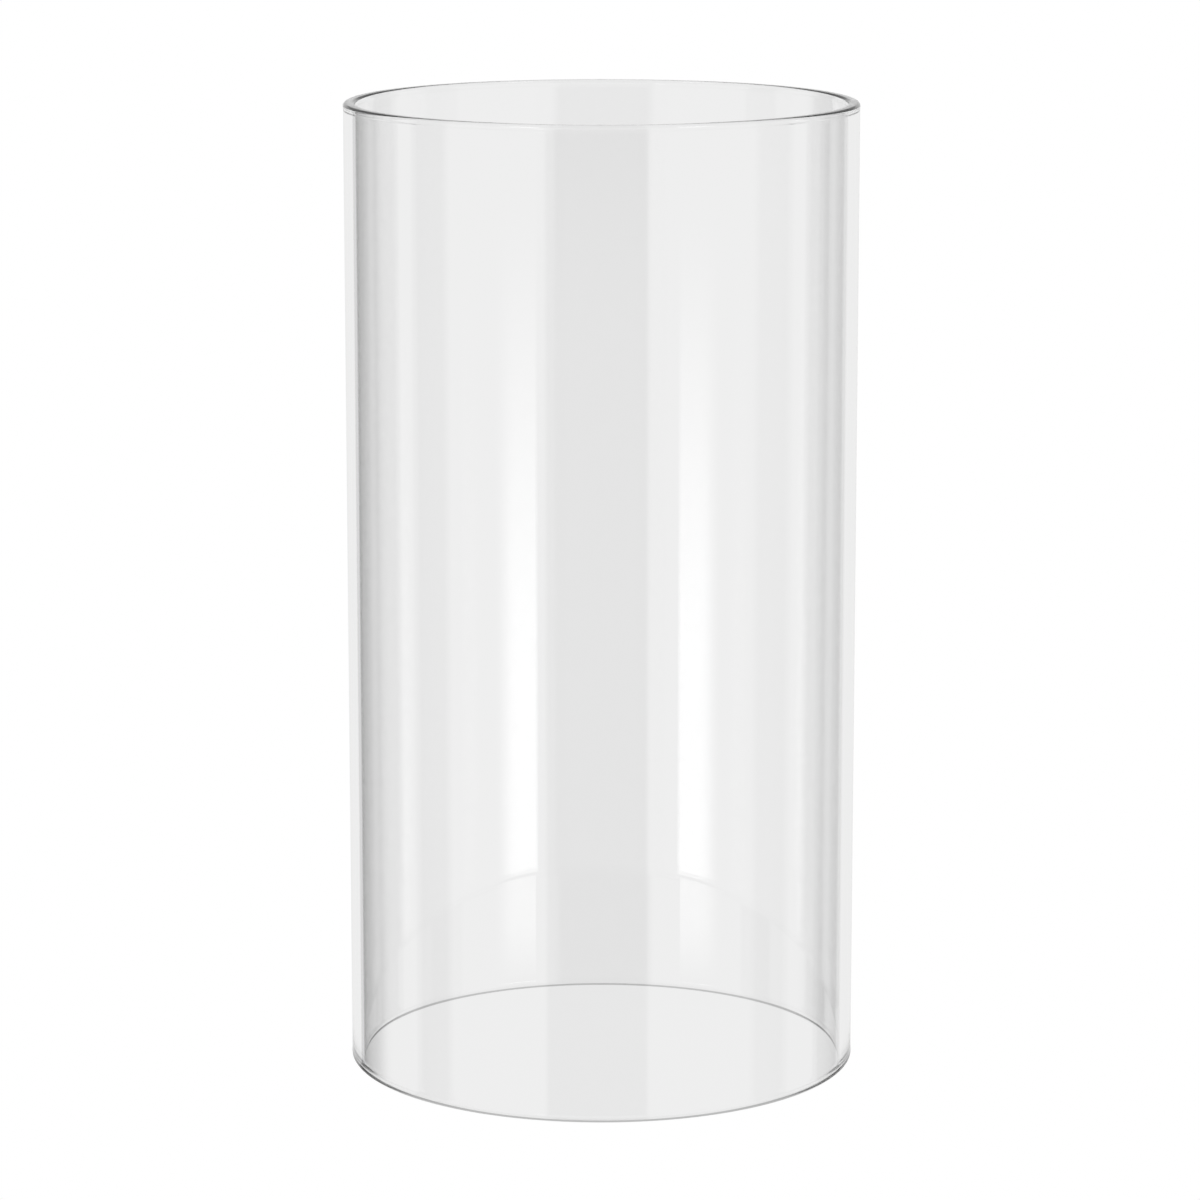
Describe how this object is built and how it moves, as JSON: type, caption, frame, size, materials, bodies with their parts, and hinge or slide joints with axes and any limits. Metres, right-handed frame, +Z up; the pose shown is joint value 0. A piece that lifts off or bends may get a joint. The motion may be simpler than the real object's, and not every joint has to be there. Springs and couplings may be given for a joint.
{
  "type": "open-ended glass cylinder",
  "caption": "Plain clear glass cylinder, open at the top and at the bottom, with a thin straight wall and fire-polished rims that it stands on.",
  "frame": {"origin": "on the cylinder's axis, in the plane of the lower rim's flat land, which the cylinder stands on", "axes": "+Z is up along the cylinder's axis; +X and +Y cross it, and no direction round the axis differs from another"},
  "size_m": [0.1051, 0.1052, 0.2],
  "materials": {
    "clear_glass": "clear colourless drawn glass, smooth on both faces, rims fire-polished"
  },
  "bodies": {
    "root": {"glass_tube": "clear_glass"}
  },
  "joints": []
}
